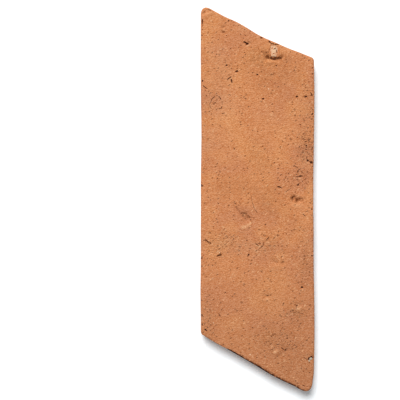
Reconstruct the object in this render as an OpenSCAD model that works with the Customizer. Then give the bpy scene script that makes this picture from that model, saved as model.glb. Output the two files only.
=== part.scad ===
// Right-hand chevron tile in hand-moulded terracotta: a long, thin slab with two
// parallel long edges and both ends cut on the slant, so that a tile and its mirror
// image meet in a V. It is one fired piece. It lies on its bed face at z = 0, the
// origin is under the middle of its outline, +Y runs along the long edges to the tip,
// and +Z is the face that is walked on.

/* [Slab] */
// Width across the two long edges
tile_w = 100; // [85:1:160]
// Length of the left long edge, between its sharp corners
edge_l = 292.7; // [220:0.1:600]
// Thickness from the bed face to the walked face
tile_t = 20; // [12:0.5:40]

/* [Ends] */
// Slant of the upper end, off square with the long edges
upper_slant = 25.8; // [15:0.1:35]
// Slant of the lower end, off square with the long edges
lower_slant = 28.2; // [15:0.1:35]
// How far the upper end is hollow, along the long edges
upper_dip = 3.2; // [0.5:0.1:5]
// Where the hollow of the upper end is deepest, from the left edge
upper_dip_x = 56; // [40:1:60]
// How far the lower end is bowed out, along the long edges
lower_bow = 2.4; // [0.5:0.1:5]
// Where the bow of the lower end is highest, from the right edge
lower_bow_x = 37; // [30:1:50]

/* [Corners] */
// Radius of the tip, the upper left corner, seen from above
tip_r = 5.5; // [3:0.5:10]
// Radius of the shoulder, the upper right corner
shoulder_r = 3; // [3:0.5:10]
// Radius of the toe, the lower right corner
toe_r = 7; // [3:0.5:10]
// Radius of the heel, the lower left corner
heel_r = 3; // [3:0.5:10]
// Radius that eases the dip of the upper end
dip_r = 120; // [20:5:150]
// Radius that eases the bow of the lower end
bow_r = 120; // [20:5:150]

/* [Arrises] */
// Rounding of the edge all round the walked face
face_arris = 2; // [0.5:0.1:2.5]
// Rounding of the edge all round the bed face
bed_arris = 1; // [0.5:0.1:2.5]

/* [Marks in the walked face] */
// Depth of the pocket that the lime pebble sits in, near the upper end
pocket_depth = 1.4; // [0.5:0.1:3]
// Width of that pocket
pocket_w = 13; // [9:0.5:16]
// Width of the lime pebble
pebble_w = 6.5; // [4:0.5:8]
// How far the top of the pebble stays below the walked face
pebble_sink = 0.3; // [0.1:0.1:0.4]
// Depth of the round pits
pit_depth = 1.3; // [0.4:0.1:3]
// Depth of the slits, where grit was dragged through the soft clay
slit_depth = 0.9; // [0.3:0.1:1.1]
// Depth of the shallow dents
dent_depth = 0.7; // [0.3:0.1:3]
// Depth of the chips in the right edge
chip_depth = 1.6; // [0.5:0.1:3]

/* [Hidden] */
$fa = 4;
$fs = 0.2;

CLAY = [0.79, 0.53, 0.35];

// Largest turn between two neighbouring facets of a rounding.
FACET_TURN = 10;
// Facets up the rounding of an arris.
ARRIS_STEPS = 4;

// The end lines drop by these amounts from the left edge to the right one.
upper_drop = tile_w * tan(upper_slant);
lower_drop = tile_w * tan(lower_slant);

// How much a rounding takes off, in y, of the sharp corner between an edge and an end.
function corner_loss(r, slant) = r * (1 / tan((90 - slant) / 2) - 1);

// Slants of the stretches of the ends that reach the tip and the toe.
tip_slant = atan(tan(upper_slant) + upper_dip / upper_dip_x);
toe_slant = atan(tan(lower_slant) - lower_bow / lower_bow_x);

// The outline is centred on the origin, between the rounded tip and the rounded toe.
tip_loss = corner_loss(tip_r, tip_slant);
toe_loss = corner_loss(toe_r, toe_slant);
top_y = (edge_l + lower_drop - tip_loss - toe_loss) / 2;
left_x = -tile_w / 2;
right_x = tile_w / 2;
tip = [left_x, top_y + tip_loss];
dip = tip + [upper_dip_x, -tan(tip_slant) * upper_dip_x];
shoulder = tip + [tile_w, -upper_drop];
heel = tip - [0, edge_l];
toe = heel + [tile_w, -lower_drop];
bow = toe + [-lower_bow_x, tan(toe_slant) * lower_bow_x];

// Sharp corners of the outline, anticlockwise from the tip, and the radius of each.
CORNERS = [tip, heel, bow, toe, shoulder, dip];
RADII = [tip_r, heel_r, bow_r, toe_r, shoulder_r, dip_r];
COUNT = len(CORNERS);

function corner(i) = CORNERS[(i + COUNT) % COUNT];
function along(i) =
    let (run = corner(i + 1) - corner(i))
    run / norm(run);
function inward(i) = [-along(i).y, along(i).x];

// Turn of the outline at a corner, to the left, so that only the dip's is negative.
function turn(i) = asin(cross(along(i - 1), along(i)));
function sharp_turn(i) = along(i - 1) * along(i) < 0 ? 180 - turn(i) : turn(i);

// Centre of a corner's rounding: inside the outline, or outside it at the dip.
function round_centre(i) =
    let (a = inward(i - 1), b = inward(i), side = sign(turn(i)))
    corner(i) + side * RADII[i] * (a + b) / (1 + a * b);

// Points round a corner, on the outline moved in by d.
function corner_arc(i, d) =
    let (
        side = sign(turn(i)),
        steps = max(2, ceil(abs(sharp_turn(i)) / FACET_TURN)),
        first = atan2(-inward(i - 1).y, -inward(i - 1).x),
        reach = side * RADII[i] - d
    )
    [
        for (k = [0:steps])
            let (angle = first + sharp_turn(i) * k / steps)
            round_centre(i) + reach * [cos(angle), sin(angle)]
    ];

// The whole outline moved in by d.
function outline(d) = [for (i = [0:COUNT - 1]) each corner_arc(i, d)];

// Rims of the slab from the bed face up, each as how far it is moved in and its height.
RIMS = [
    for (k = [0:ARRIS_STEPS])
        let (a = 90 * k / ARRIS_STEPS)
        [bed_arris * (1 - sin(a)), bed_arris * (1 - cos(a))],
    for (k = [0:ARRIS_STEPS])
        let (a = 90 * k / ARRIS_STEPS)
        [face_arris * (1 - cos(a)), tile_t - face_arris * (1 - sin(a))],
];

// The slab before it is marked: skinned from rim to rim, and closed by its two faces.
module slab() {
    n = len(outline(0));
    top = len(RIMS) - 1;
    points = [for (rim = RIMS) for (p = outline(rim[0])) [p.x, p.y, rim[1]]];
    skin = [
        for (j = [0:top - 1])
            for (i = [0:n - 1])
                let (next = (i + 1) % n)
                [j * n + i, (j + 1) * n + i, (j + 1) * n + next, j * n + next]
    ];
    bed = [for (i = [0:n - 1]) i];
    face = [for (i = [n - 1:-1:0]) top * n + i];
    polyhedron(points, concat([bed, face], skin));
}

// Radius of the ball that presses a round mark w wide and d deep.
function ball_r(w, d) = (w * w / 4 + d * d) / (2 * d);

// Round mark in the walked face.
module round_mark(place, w, d) {
    r = ball_r(w, d);
    translate([place.x, place.y, tile_t - d + r]) sphere(r);
}

// Long mark in the walked face, w wide, that tapers out at one place and the other: a
// spindle turned about a line above the face.
module long_mark(from, to, w, d) {
    way = to - from;
    mid = (from + to) / 2;
    r = ball_r(w, d);
    arc = ball_r(norm(way), d);
    translate([mid.x, mid.y, tile_t - d + r])
        rotate([0, 90, atan2(way.y, way.x)])
            rotate_extrude()
                intersection() {
                    translate([r - arc, 0]) circle(arc);
                    translate([0, -arc]) square([r, 2 * arc]);
                }
}

// Chip out of the arris of the right edge, at a height y.
module edge_chip(y, w) {
    r = ball_r(w, chip_depth);
    side = (r - chip_depth) * sin(45);
    translate([right_x + side, y, tile_t + side]) sphere(r);
}

// The marks. Those near an end or a long edge are placed from it, the others from the
// middle of the tile.
POCKET = tip + [64.2, -44];
PEBBLE = tip + [64.6, -42.2];

module pits() {
    round_mark(tip + [40.3, -34.6], 5, pit_depth);
    round_mark(tip + [21, -25], 3, pit_depth);
    round_mark(tip + [27, -68], 4, pit_depth);
    round_mark(shoulder + [-5.4, -91], 2.8, pit_depth);
    round_mark(heel + [17, 70], 3.6, pit_depth);
    round_mark(toe + [-10.5, 95], 4.4, pit_depth);
}

module slits() {
    long_mark([left_x + 85.4, 20], [left_x + 91, 21.2], 2.2, slit_depth);
    long_mark([left_x + 85.2, 26.4], [left_x + 88.6, 23.4], 2, slit_depth);
    long_mark([left_x + 67.4, 10.4], [left_x + 71.4, 11], 2.2, slit_depth);
    long_mark([left_x + 42, -49.4], [left_x + 42.4, -52.6], 2, slit_depth);
}

module dents() {
    round_mark([left_x + 82.8, 1.4], 6.5, dent_depth);
    round_mark([left_x + 88.4, -0.6], 6.5, dent_depth);
    long_mark([left_x + 34, -13], [left_x + 44.6, -18.6], 4, dent_depth);
}

module chips() {
    edge_chip(shoulder.y - 92, 5.5);
    edge_chip(toe.y + 34, 5);
}

// Lime pebble, left standing in its pocket and part of the fired body.
module pebble() {
    r = pebble_w / 2;
    translate([PEBBLE.x, PEBBLE.y, tile_t - pebble_sink - r]) sphere(r);
}

module tile() {
    color(CLAY) union() {
        difference() {
            slab();
            round_mark(POCKET, pocket_w, pocket_depth);
            pits();
            slits();
            dents();
            chips();
        }
        pebble();
    }
}

tile();
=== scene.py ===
"""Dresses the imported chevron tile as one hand-moulded piece of terracotta.

The tile is modelled as a potter would make it: a slab is cut to its outline, its corners
and arrises are rounded, its faces are pressed uneven by hand, and its pits, scratches and
nicks are cut out of it. Everything is in metres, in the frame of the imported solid: the bed
face lies at z = 0, +Y runs to the tip and +Z is the face that is walked on.
"""

import math
import random
from typing import NamedTuple

import bmesh
import bpy
from bpy.props import FloatProperty, FloatVectorProperty, IntProperty, PointerProperty
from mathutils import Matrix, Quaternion, Vector, kdtree


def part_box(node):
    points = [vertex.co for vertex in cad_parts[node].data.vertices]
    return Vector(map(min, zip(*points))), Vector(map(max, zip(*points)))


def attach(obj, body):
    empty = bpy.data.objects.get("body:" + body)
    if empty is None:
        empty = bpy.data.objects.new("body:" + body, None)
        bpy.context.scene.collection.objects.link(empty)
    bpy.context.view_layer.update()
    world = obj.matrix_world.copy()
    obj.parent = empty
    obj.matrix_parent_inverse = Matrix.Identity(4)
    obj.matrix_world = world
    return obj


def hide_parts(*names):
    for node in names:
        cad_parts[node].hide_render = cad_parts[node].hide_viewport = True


bl_info = {
    "name": "Terracotta chevron tile",
    "version": (1, 0, 0),
    "blender": (4, 5, 0),
    "location": "View3D > Sidebar > Tile",
    "description": "Models a hand-moulded terracotta chevron tile and its stage",
    "category": "Add Mesh",
}

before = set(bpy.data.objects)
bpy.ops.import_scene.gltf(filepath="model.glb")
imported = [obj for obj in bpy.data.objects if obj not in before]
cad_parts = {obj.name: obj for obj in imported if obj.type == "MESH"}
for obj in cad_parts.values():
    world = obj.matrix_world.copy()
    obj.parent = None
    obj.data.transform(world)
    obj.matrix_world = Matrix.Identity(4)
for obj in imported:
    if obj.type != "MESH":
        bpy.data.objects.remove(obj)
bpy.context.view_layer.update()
LOW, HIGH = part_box("tile")

MM = 0.001
TINY = 0.05 * MM

# Pixels of the 400 x 400 photograph that the tile's outline touches.
PHOTO_LEFT = 200.8
PHOTO_TIP = 7.5
PHOTO_TOE = 390.3
PHOTO_MIDDLE = 200
PHOTO_SIDE = 400
PIXEL = (HIGH.y - LOW.y) / (PHOTO_TOE - PHOTO_TIP)


def at_pixel(across, down):
    """The place on the tile, in metres, that a pixel of the photograph shows."""
    return Vector((LOW.x + (across - PHOTO_LEFT) * PIXEL, HIGH.y - (down - PHOTO_TIP) * PIXEL))


# Marks


class Mark(NamedTuple):
    """A pit or a slit: the pixel of the photograph it is at, its width, length and depth in
    millimetres, and its turn in degrees, anticlockwise from across the tile."""

    across: float
    down: float
    width: float
    length: float
    turn: float
    depth: float


# Small round pits, as the pixels they are at, by their width in millimetres.
DOTS = {
    0.6: (
        (255.8, 251.4),
    ),
    0.7: (
        (251.5, 47.5), (258.5, 48.4), (242.6, 91), (215.5, 103), (214, 104.5), (270, 106),
        (280.4, 148.5), (267.6, 152.2), (228, 154), (264.6, 183), (229.8, 190.4), (263, 201),
        (258.6, 203.6), (249.4, 250.7), (240.6, 253.8), (206.6, 263), (217.2, 287.6),
        (290.6, 289.4), (282.8, 306),
    ),
    0.8: (
        (236.6, 207), (239.8, 211), (241.4, 213.6), (246.6, 213.2), (249.6, 217.2), (250.6, 219.4),
        (228.5, 55.5), (301.5, 60.2), (235.5, 63), (299, 71), (261.5, 71.5), (305.5, 86),
        (269.5, 96.5), (251.7, 104), (240, 106.5), (300.8, 111.4), (275.4, 133.4), (275.7, 137.5),
        (227.5, 157), (206.8, 169.2), (235, 169.6), (244.3, 170.6), (222.4, 176.5), (291, 179.5),
        (211.5, 212), (303, 215), (213.4, 222), (214.6, 224), (213.4, 229), (304.2, 231),
        (283.4, 233.8), (222.8, 234), (289.8, 240.6), (228.5, 241.5), (239.2, 246.8),
        (283.5, 253.4), (274.4, 254), (249, 260), (233.8, 281.6), (265.2, 312.4), (219.4, 316.6),
        (256.8, 319.4), (229.2, 328.4), (245.2, 330.4), (253.4, 339.6), (276.2, 341.6),
        (200.9, 346), (303.4, 371.4), (280.4, 375.4), (307.4, 386.6),
    ),
    0.9: (
        (234, 25.3), (212.5, 27), (250.5, 31), (243.4, 38.2), (205, 48.5), (290.5, 52),
        (244.8, 52.5), (235, 54), (274, 73.5), (299.4, 80.3), (307.5, 90.3), (202, 104),
        (292.5, 104.4), (311.8, 119), (293, 134), (288.5, 135.8), (288.5, 144.5), (262.8, 146.5),
        (232.5, 156.3), (287.3, 163.3), (238.2, 178), (235, 203.6), (224.5, 207.4),
        (306.5, 211.5), (296, 220.5), (288.8, 224.3), (286.5, 234), (298.6, 247.2), (312, 256),
        (300, 256.5), (306.7, 264.5), (216.5, 267.3), (202, 301), (202, 308), (219.5, 315.6),
        (277.6, 323.4), (216.3, 325.3), (264.8, 326.8), (255.5, 344), (291.3, 363), (278, 363.5),
        (286.4, 370.6),
    ),
    1: (
        (216.6, 54.4), (309, 60.5), (202, 64), (309, 82), (313, 91), (304.5, 121), (300.5, 124.8),
        (202, 165.5), (263.4, 177.2), (302.5, 181.5), (241.3, 199), (222, 257.2), (262, 272.3),
        (271.5, 336.5), (279.4, 338.6),
    ),
    1.1: (
        (202, 29.5), (226.5, 35.5), (202, 35.5), (261.7, 52), (312.8, 127), (304, 133.5),
        (297.5, 137.3), (306, 149.5),
    ),
    1.2: (
        (312, 149.5), (312.5, 166.5),
    ),
    1.3: (
        (306.5, 145.5),
    ),
}

# Open pits and slits that are longer or deeper, painted dark inside with shade, from the tip down.
PITS = (
    Mark(209.5, 10, 0.8, 3.4, -20, 0.8),
    Mark(228.6, 20.8, 1.3, 1.6, 40, 1),
    Mark(245.3, 35.5, 0.8, 2.2, -40, 0.56),
    Mark(261.5, 37.8, 1.3, 2.3, -20, 1.2),
    Mark(245.2, 42.5, 1.6, 3.8, -28, 1.5),
    Mark(247.2, 43.8, 2.2, 3, 30, 1.9),
    Mark(302.3, 56.4, 0.8, 1.9, 45, 0.56),
    Mark(226.7, 65.2, 1.6, 1.8, 0, 1.2),
    Mark(276.5, 66, 1.2, 2, -30, 0.6),
    Mark(312.4, 68, 1.2, 1.8, 80, 0.84),
    Mark(236.8, 71.3, 1.9, 3, 5, 1.2),
    Mark(312.6, 74, 1.1, 2, 95, 0.77),
    Mark(257.3, 74.7, 1.6, 1.8, 0, 1.2),
    Mark(202.5, 81, 1.4, 2.4, 80, 0.8),
    Mark(311, 95.5, 0.8, 2, 45, 0.56),
    Mark(306, 96.5, 1.6, 2.6, -25, 0.8),
    Mark(297, 96.7, 2, 2.2, 0, 1.5),
    Mark(263.2, 98.8, 1.7, 2, 0, 1.4),
    Mark(312.6, 114, 1.3, 2, 85, 0.91),
    Mark(312.2, 148, 1.2, 2.4, 80, 0.84),
    Mark(307.8, 160.6, 2, 2.2, 0, 1.6),
    Mark(311.5, 162.5, 1.6, 2.8, 70, 1.2),
    Mark(274.3, 163, 1.2, 1.6, 20, 0.9),
    Mark(294, 166.2, 1, 1.9, 10, 0.7),
    Mark(281, 175, 0.9, 2.2, 30, 0.7),
    Mark(300.4, 176.3, 1.7, 2.8, 6, 1.4),
    Mark(217.4, 178.8, 0.8, 1.8, 45, 0.6),
    Mark(279.4, 180.4, 0.8, 1.8, 40, 0.6),
    Mark(298, 184.5, 1, 2, 45, 0.7),
    Mark(201.8, 185.8, 1.5, 2.4, 80, 1),
    Mark(279.2, 187, 1.4, 3, -14, 1.1),
    Mark(311.8, 209.3, 1.1, 2, 85, 0.77),
    Mark(265.5, 224.8, 0.8, 2, -40, 0.6),
    Mark(291.8, 231, 0.8, 2.4, -15, 0.6),
    Mark(247, 240.7, 0.9, 2, 40, 0.63),
    Mark(259, 243.6, 0.9, 1.9, 40, 0.8),
    Mark(260.4, 243.8, 0.9, 1.9, -40, 0.8),
    Mark(219.4, 255.2, 1.3, 3.7, 18, 2.6),
    Mark(249, 255.3, 1, 2.8, 88, 0.9),
    Mark(312.2, 256, 1.2, 2, 90, 0.84),
    Mark(201.8, 258, 1.2, 3, 85, 0.9),
    Mark(201.8, 266.5, 1.1, 2.6, 95, 0.8),
    Mark(302, 287.3, 2.1, 2.3, 0, 1.6),
    Mark(264.8, 291, 0.9, 1.6, -10, 0.7),
    Mark(225.3, 292.8, 1, 2.2, 40, 0.7),
    Mark(267.6, 295.8, 0.9, 2, 0, 0.7),
    Mark(297, 306, 1.5, 2, 20, 0.8),
    Mark(202, 315.5, 1.2, 2.6, 88, 0.9),
    Mark(202, 324.5, 1.1, 2.4, 92, 0.8),
    Mark(205.6, 330, 1.6, 2.6, -35, 1.2),
    Mark(295, 345.4, 0.9, 1.8, -30, 0.7),
    Mark(303.8, 386, 1.2, 3, -30, 0.8),
)


class Scratch(NamedTuple):
    """A scratch: the pixels of the photograph it runs through, its width and depth in
    millimetres."""

    path: tuple
    width: float
    depth: float


SCRATCHES = (
    Scratch(((268.8, 41.6), (271.2, 43.4), (274.5, 44.2), (279, 44.3)), 0.9, 0.8),
    Scratch(((202.4, 19.5), (202.2, 23), (202, 27)), 1.3, 0.7),
    Scratch(((203, 85.6), (205, 87.2), (207, 88.6)), 0.8, 0.7),
    Scratch(((214.4, 96.4), (212.4, 98.6), (210.8, 101.4)), 0.6, 0.5),
    Scratch(((210.8, 101.4), (209.8, 104.2), (210.2, 107), (211.2, 108.4)), 0.35, 0.3),
    Scratch(((218.8, 96.4), (220, 97.6), (221, 99.4)), 0.7, 0.5),
    Scratch(((222, 101.4), (222.4, 104.4)), 0.3, 0.25),
    Scratch(((222, 106.4), (221.2, 108.4), (218.8, 109)), 0.7, 0.5),
    Scratch(((213, 104), (215.6, 102.4)), 0.5, 0.4),
    Scratch(((227.4, 79.6), (229.4, 77.8), (231.4, 76.8)), 1, 0.7),
    Scratch(((231.2, 79.2), (231.9, 82.4)), 1.5, 1),
    Scratch(((269, 40.8), (270.4, 43)), 1.2, 0.9),
    Scratch(((270, 75.2), (274, 74.6)), 0.4, 0.3),
    Scratch(((310.6, 92.6), (312.4, 95.6)), 0.8, 0.7),
    Scratch(((309.8, 161.6), (311, 162.8)), 1.3, 1),
    Scratch(((294, 165.6), (297.6, 167.6)), 0.6, 0.5),
    Scratch(((296.8, 185.6), (299.4, 183.2)), 0.7, 0.5),
    Scratch(((247.6, 256.2), (249, 253.4)), 0.9, 0.8),
    Scratch(((255.4, 243.8), (258.6, 245.6)), 0.7, 0.5),
    Scratch(((266.4, 240), (269, 237.2)), 0.8, 0.6),
    Scratch(((257.8, 250), (264, 245)), 0.3, 0.25),
    Scratch(((205.4, 239), (209, 243.4)), 0.7, 0.5),
    Scratch(((303.2, 214.4), (305.4, 216.2)), 0.7, 0.5),
    Scratch(((281.4, 347.8), (284, 349.6)), 0.9, 0.7),
    Scratch(((284.6, 350.2), (286.6, 348.8)), 0.7, 0.6),
    Scratch(((276, 345), (279.6, 344.2)), 0.6, 0.5),
    Scratch(((270.4, 350), (273.6, 349)), 0.5, 0.4),
    Scratch(((218.6, 313.4), (220.6, 316.4)), 0.6, 0.5),
    Scratch(((204.6, 328.6), (207, 331.4)), 1, 0.8),
    Scratch(((276.6, 364), (280, 362.8)), 0.6, 0.5),
    Scratch(((300.5, 168.8), (298.6, 169.6), (297, 172.5)), 0.6, 0.5),
    Scratch(((295.8, 177), (299, 176.4)), 0.7, 0.6),
    Scratch(((300, 176.4), (303, 175.6)), 0.8, 0.7),
    Scratch(((277, 186.2), (279, 187)), 0.7, 0.6),
    Scratch(((279.6, 187), (282.4, 188.4)), 0.8, 0.7),
    Scratch(((286, 191.6), (290.2, 188.9)), 0.4, 0.4),
    Scratch(((251.4, 197), (252.4, 203), (254.4, 208.5), (258, 214)), 0.35, 0.3),
    Scratch(((206, 240), (208.4, 241.4), (211, 243)), 0.6, 0.5),
    Scratch(((273, 239.4), (275.6, 236.4)), 0.5, 0.5),
    Scratch(((303.4, 357), (306, 359)), 0.5, 0.5),
    Scratch(((272, 111.6), (274, 112.2)), 0.6, 0.5),
)


class Hollow(NamedTuple):
    """A soft hollow, or a swelling where its depth is below zero: the pixels of the
    photograph it runs through, its depth and its reach in millimetres."""

    path: tuple
    depth: float
    reach: float


HOLLOWS = (
    Hollow(((294.4, 199),), 1.9, 3.6),
    Hollow(((300.4, 199.8),), 1.4, 3),
    Hollow(((292.5, 206), (300.5, 207)), -0.5, 3.2),
    Hollow(((236, 208), (240, 213), (246, 215.5), (251, 221)), 0.9, 4.6),
    Hollow(((241, 228), (246, 226.5), (251, 222.5)), -0.8, 3.2),
    Hollow(((202.8, 14), (205, 12.4), (208, 11)), 0.5, 2),
    Hollow(((203.4, 17), (207.6, 14.4), (212, 12.4)), -0.45, 2),
    Hollow(((224, 29.5),), -0.5, 2.6),
    Hollow(((222, 26.8), (225, 26.4)), 0.5, 2),
    Hollow(((222, 32), (224.6, 32.4)), 0.5, 2),
    Hollow(((271.5, 114),), -0.5, 3),
    Hollow(((267, 57), (273, 59), (281, 57.6)), 1, 5),
    Hollow(((269, 62), (278, 62)), -0.5, 3.4),
    Hollow(((272, 338), (280, 336.5), (289, 338)), 0.35, 4),
    Hollow(((270, 344), (279, 342)), 0.35, 3),
    Hollow(((274, 352), (278, 351)), -0.6, 3.2),
    Hollow(((281, 345), (288, 350)), 0.5, 3.4),
    Hollow(((290, 352), (280, 356)), 0.4, 4),
    Hollow(((297, 308.5), (300, 308)), -0.6, 2.8),
    Hollow(((294, 304.5), (300, 305.5)), 0.7, 2.8),
    Hollow(((291, 313), (296, 316)), 0.4, 3),
    Hollow(((273, 261), (277, 262)), 0.6, 3),
    Hollow(((282.5, 263),), 0.7, 2.6),
    Hollow(((272, 268), (282, 267)), -0.4, 3),
    Hollow(((264, 295.5), (268, 296)), 0.6, 3),
    Hollow(((266, 299.5),), -0.4, 2.6),
    Hollow(((302, 100), (306, 130)), 0.5, 14),
    Hollow(((305, 141), (304, 157)), 0.5, 9),
    Hollow(((291, 240), (296, 231.5)), 0.5, 3),
    Hollow(((309.5, 357.5),), 0.8, 4),
)


class Bend(NamedTuple):
    """A push on a side: the pixel of the photograph it is at, how far the side moves across
    and along the tile and the reach of the push in millimetres."""

    across: float
    down: float
    shift_x: float
    shift_y: float
    reach: float


BENDS = (
    Bend(313.8, 100, 0.75, 0, 62),
    Bend(313.8, 196, -0.3, 0, 40),
    Bend(313.8, 325, 0.85, 0, 62),
    Bend(313.4, 385, -0.9, 0, 10),
    Bend(200.8, 130, 0.6, 0, 45),
    Bend(200.8, 290, -0.25, 0, 25),
    Bend(240, 25, 0, 1.1, 17),
    Bend(288, 48, 0, -0.35, 12),
    Bend(215, 342.6, 0, -0.45, 11),
    Bend(284, 380.6, 0, -0.85, 30),
    Bend(304, 390, 0, -0.8, 9),
)


class PaintedTone(NamedTuple):
    """A soft patch of painted tone: the pixels of the photograph it runs through, its reach in
    millimetres, and its share, above zero where the clay is darker and below where it is paler.
    The broad ones are stains in the clay's own tone; the small ones are painted shade in
    hollows, pits and along the lower arris, and painted highlights on the lips and ridges
    that face the lamp."""

    path: tuple
    reach: float
    share: float


PAINTED_TONES = (
    PaintedTone(((258, 64), (288, 72)), 22, 0.16),
    PaintedTone(((262, 86), (284, 96)), 16, 0.07),
    PaintedTone(((262, 206), (300, 226)), 16, 0.08),
    PaintedTone(((222, 188), (250, 186), (282, 196)), 18, 0.13),
    PaintedTone(((272, 340), (300, 372)), 26, 0.09),
    PaintedTone(((304, 96), (304, 164)), 12, -0.07),
    PaintedTone(((222, 74), (228, 108)), 18, -0.15),
    PaintedTone(((305, 212), (306, 246)), 9, -0.08),
    # Painted highlight on a small ridge near the tip, and painted shade in the hollow beside it.
    PaintedTone(((203.4, 15.6), (207, 13.6), (211.4, 12)), 0.9, -0.6),
    PaintedTone(((203, 12.6), (205, 11.6)), 1, 0.5),
    PaintedTone(((222, 120), (228, 152)), 20, -0.08),
    PaintedTone(((262, 108), (290, 132)), 16, -0.06),
    PaintedTone(((279, 338), (283, 342)), 15, -0.13),
    PaintedTone(((219, 243), (240, 248), (260, 248)), 12, -0.15),
    PaintedTone(((240, 24), (244, 26)), 9, -0.13),
    PaintedTone(((207, 96), (209, 103)), 9, -0.12),
    PaintedTone(((268, 206), (273, 212)), 11, 0.09),
    PaintedTone(((215, 50), (220, 57)), 13, -0.16),
    PaintedTone(((207, 137), (208, 146)), 11, -0.16),
    PaintedTone(((255, 146), (262, 163)), 16, 0.12),
    PaintedTone(((256, 55), (257, 58)), 12, 0.13),
    PaintedTone(((284, 45), (298, 51)), 10, -0.15),
    PaintedTone(((203, 309), (204, 317)), 9, -0.13),
    # From here down, the small ones are painted shade in hollows and pits, and painted highlights on the lips
    # and ridges below them, which face the lamp.
    PaintedTone(((292.8, 197.2), (296, 200)), 3.6, 0.8),
    PaintedTone(((299, 198.8), (301.6, 199.6)), 2.6, 0.75),
    PaintedTone(((292, 204.6), (296, 206.2), (300.5, 205.4)), 2.2, -0.32),
    PaintedTone(((294.4, 203.4), (297, 204.6)), 1.4, -0.3),
    PaintedTone(((236, 207), (240, 212), (246.4, 214), (249.4, 216.6), (251.4, 221)), 1.3, 0.45),
    PaintedTone(((242, 214.4), (247.6, 218)), 4.4, 0.24),
    PaintedTone(((242, 227.4), (246, 226.8)), 2, -0.85),
    PaintedTone(((246, 226.2), (251, 222.8)), 1.7, -0.85),
    PaintedTone(((251, 222.6), (257, 218.6)), 1, -0.45),
    # Painted shadow of the pebble on the clay below it, and painted shade round its pocket.
    PaintedTone(((267.4, 56.4), (273.4, 58.6), (281, 57.4)), 2.7, 0.85),
    PaintedTone(((264, 53), (273, 59), (286, 57)), 7, 0.2),
    # Painted highlight on the lip below the pebble.
    PaintedTone(((268.6, 60.4), (275.6, 61)), 1.4, -0.7),
    PaintedTone(((274, 260.8), (277, 261.8)), 2.2, 0.4),
    PaintedTone(((282.5, 262.6),), 2.2, 0.5),
    PaintedTone(((264, 295.2), (268, 295.6)), 2, 0.35),
    PaintedTone(((265, 299.2), (268, 299)), 1.6, -0.45),
    PaintedTone(((304, 96), (308, 97)), 2, 0.35),
    PaintedTone(((300.5, 124.8),), 1.8, 0.35),
    PaintedTone(((222, 27), (225, 26.4)), 1.4, 0.6),
    PaintedTone(((222.2, 31.8), (224.4, 32.2)), 1.4, 0.8),
    PaintedTone(((224, 29.4),), 1.5, -0.6),
    PaintedTone(((271, 114.6), (271.8, 114)), 1.8, -0.9),
    PaintedTone(((269.6, 112), (270.6, 110.6)), 1.1, 0.5),
    PaintedTone(((275, 352.2), (277, 350.8)), 1.7, -0.7),
    PaintedTone(((273.4, 352.4), (275, 351.8)), 1.3, -0.5),
    PaintedTone(((282, 345.5), (287, 349.5)), 1.6, 0.3),
    PaintedTone(((296.4, 308.2), (298.2, 307.4)), 1.9, -1),
    PaintedTone(((299, 309), (300, 308)), 1.6, -0.9),
    PaintedTone(((294.5, 305), (299, 305.4)), 1.5, 0.45),
    PaintedTone(((301.4, 290.4), (303, 289.8)), 1.3, -0.8),
    PaintedTone(((248.2, 41.6), (250.2, 42.6)), 1.7, 0.55),
    PaintedTone(((243.6, 44.2), (246.6, 46.2), (249.6, 44.8)), 1, -0.85),
    PaintedTone(((235.6, 73.4), (237.6, 73.4)), 1, -0.7),
    PaintedTone(((229.8, 79.8),), 1.1, -0.8),
    PaintedTone(((278.4, 189), (281.5, 190)), 1.1, -0.75),
    PaintedTone(((285.4, 192.6), (289.6, 190.6)), 0.9, -0.6),
    PaintedTone(((297.4, 178.4), (301, 178.6)), 1.1, -0.7),
    PaintedTone(((258.6, 246.2), (261, 246.2)), 1.3, -0.7),
    PaintedTone(((220.6, 257.2), (222.2, 256.6)), 1.1, -0.7),
    PaintedTone(((217.7, 255.9), (221.1, 254.6)), 1.3, 1),
    PaintedTone(((275.4, 164.6), (277.4, 164)), 1.1, -0.7),
    PaintedTone(((306.6, 160), (307.2, 162.6)), 1.1, -0.6),
    PaintedTone(((310.4, 160.6), (312.6, 163)), 1.6, 0.6),
    PaintedTone(((261.8, 53.6),), 1, -0.7),
    PaintedTone(((263.8, 100.8), (265.4, 102.6)), 0.9, -0.7),
    PaintedTone(((296.6, 99.6),), 1.1, -0.6),
    PaintedTone(((266.4, 242), (268.6, 242.8)), 1, -0.7),
    PaintedTone(((225, 294.6),), 0.9, -0.6),
    PaintedTone(((257.6, 214.6),), 0.8, -0.9),
    PaintedTone(((250.6, 354.6),), 1.2, -0.7),
    # Painted shade along the lower arris, which faces away from the lamp.
    PaintedTone(((229, 350.6), (255, 364.6), (275, 376.6), (295, 386.6), (303, 390.2)), 2.5, 1),
)


class Patch(NamedTuple):
    """A patch of the walked face that is more pitted than the rest: the pixel of the
    photograph it is round, its reach across and along the tile in millimetres, its share."""

    across: float
    down: float
    width: float
    length: float
    share: float


PITTED = (
    Patch(306, 148, 9, 17, 0.42),
    Patch(308, 105, 8, 26, 0.22),
    Patch(300, 178, 14, 12, 0.24),
    Patch(222, 72, 18, 22, 0.14),
    Patch(222, 242, 20, 12, 0.3),
    Patch(268, 244, 16, 9, 0.28),
    Patch(280, 340, 22, 14, 0.26),
    Patch(296, 312, 10, 8, 0.35),
    Patch(208, 316, 8, 24, 0.22),
    Patch(306, 262, 8, 26, 0.3),
    Patch(212, 100, 10, 10, 0.2),
    Patch(244, 212, 12, 8, 0.2),
)
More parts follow.
